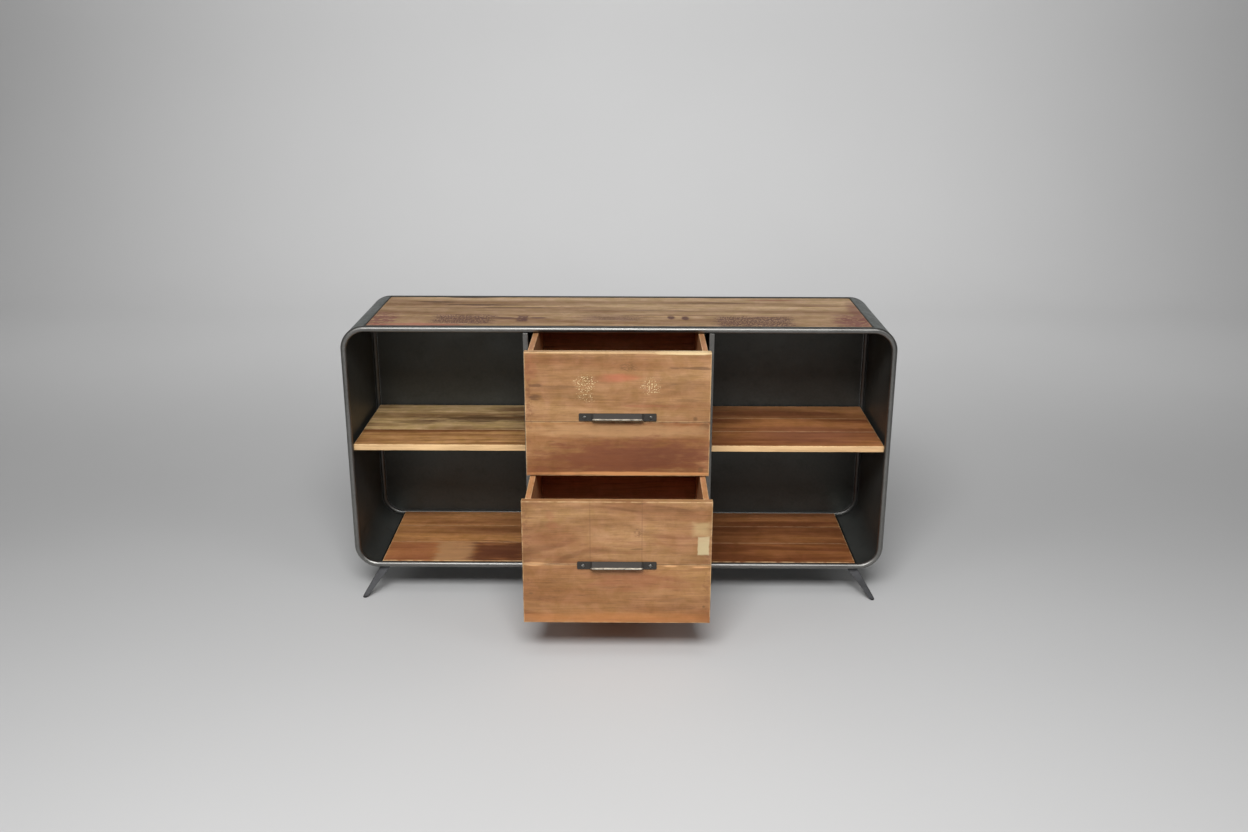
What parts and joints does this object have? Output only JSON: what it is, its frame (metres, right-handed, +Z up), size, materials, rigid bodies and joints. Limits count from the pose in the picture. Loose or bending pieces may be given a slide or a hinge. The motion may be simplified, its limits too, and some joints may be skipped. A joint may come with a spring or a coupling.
{
  "type": "sideboard buffet",
  "caption": "Industrial sideboard: round-cornered dark steel case with tube rims and splayed legs, reclaimed-wood top, open shelved bays and central deep drawers, stored pulled out.",
  "frame": {"origin": "on the floor, under the middle of the bounding box of the piece as stored, with the lower drawer fully out and the upper drawer half out", "axes": "+X to the right as seen from the front, +Y from the front towards the back, +Z up"},
  "size_m": [1.5, 0.7864, 0.8],
  "materials": {
    "rim_steel": "clear-coated dark raw steel tube",
    "case_steel": "dark gunmetal sheet, satin and slightly mottled",
    "leg_steel": "dark grey hammered finish",
    "handle_steel": "dark clear-coated steel strip",
    "zinc": "zinc-plated",
    "pad_rubber": "matt",
    "top_wood": "reclaimed planks, thin satin lacquer, stained in places",
    "shelf_wood": "reclaimed planks, satin lacquer, mixed browns",
    "front_wood": "warm tan reclaimed boards with old paint traces, satin lacquer",
    "drawer_wood": "reddish brown solid wood, satin"
  },
  "bodies": {
    "case": {"back_panel": "case_steel", "back_rim": "rim_steel", "bottom_board_left": "shelf_wood", "bottom_board_right": "shelf_wood", "bottom_tray": "case_steel", "divider_left": "case_steel", "divider_right": "case_steel", "foot_pad_back_left": "pad_rubber", "foot_pad_back_right": "pad_rubber", "foot_pad_front_left": "pad_rubber", "foot_pad_front_right": "pad_rubber", "front_post_left": "rim_steel", "front_post_right": "rim_steel", "front_rim": "rim_steel", "leg_back_left": "leg_steel", "leg_back_right": "leg_steel", "leg_front_left": "leg_steel", "leg_front_right": "leg_steel", "lower_slide_rail_left": "zinc", "lower_slide_rail_right": "zinc", "rear_post_left": "rim_steel", "rear_post_right": "rim_steel", "shelf_angle_left_inner": "rim_steel", "shelf_angle_left_outer": "rim_steel", "shelf_angle_right_inner": "rim_steel", "shelf_angle_right_outer": "rim_steel", "shelf_left": "shelf_wood", "shelf_right": "shelf_wood", "side_sheet_left": "case_steel", "side_sheet_right": "case_steel", "top_plank_back": "top_wood", "top_plank_front": "top_wood", "top_plank_middle": "top_wood", "top_tray": "case_steel", "upper_slide_rail_left": "zinc", "upper_slide_rail_right": "zinc"},
    "lower_carriers": {"lower_slide_carrier_left": "zinc", "lower_slide_carrier_right": "zinc"},
    "upper_carriers": {"upper_slide_carrier_left": "zinc", "upper_slide_carrier_right": "zinc"},
    "lower_drawer": {"lower_drawer_back": "drawer_wood", "lower_drawer_bottom": "drawer_wood", "lower_drawer_front": "front_wood", "lower_drawer_side_left": "drawer_wood", "lower_drawer_side_right": "drawer_wood", "lower_handle": "handle_steel", "lower_handle_screw_left": "zinc", "lower_handle_screw_right": "zinc", "lower_slide_runner_left": "zinc", "lower_slide_runner_right": "zinc"},
    "upper_drawer": {"upper_drawer_back": "drawer_wood", "upper_drawer_bottom": "drawer_wood", "upper_drawer_front": "front_wood", "upper_drawer_side_left": "drawer_wood", "upper_drawer_side_right": "drawer_wood", "upper_handle": "handle_steel", "upper_handle_screw_left": "zinc", "upper_handle_screw_right": "zinc", "upper_slide_runner_left": "zinc", "upper_slide_runner_right": "zinc"}
  },
  "joints": [
    {"name": "lower_drawer_slide", "type": "slide", "parent": "case", "child": "lower_drawer", "axis": [0, -1, 0], "range_m": [-0.36, 0]},
    {"name": "lower_carrier_slide", "type": "slide", "parent": "case", "child": "lower_carriers", "axis": [0, -1, 0], "range_m": [-0.18, 0]},
    {"name": "upper_drawer_slide", "type": "slide", "parent": "case", "child": "upper_drawer", "axis": [0, -1, 0], "range_m": [-0.188, 0.172]},
    {"name": "upper_carrier_slide", "type": "slide", "parent": "case", "child": "upper_carriers", "axis": [0, -1, 0], "range_m": [-0.094, 0.086]}
  ],
  "couplings": [
    {"joint": "lower_carrier_slide", "follows": "lower_drawer_slide", "ratio": 0.5},
    {"joint": "upper_carrier_slide", "follows": "upper_drawer_slide", "ratio": 0.5}
  ]
}
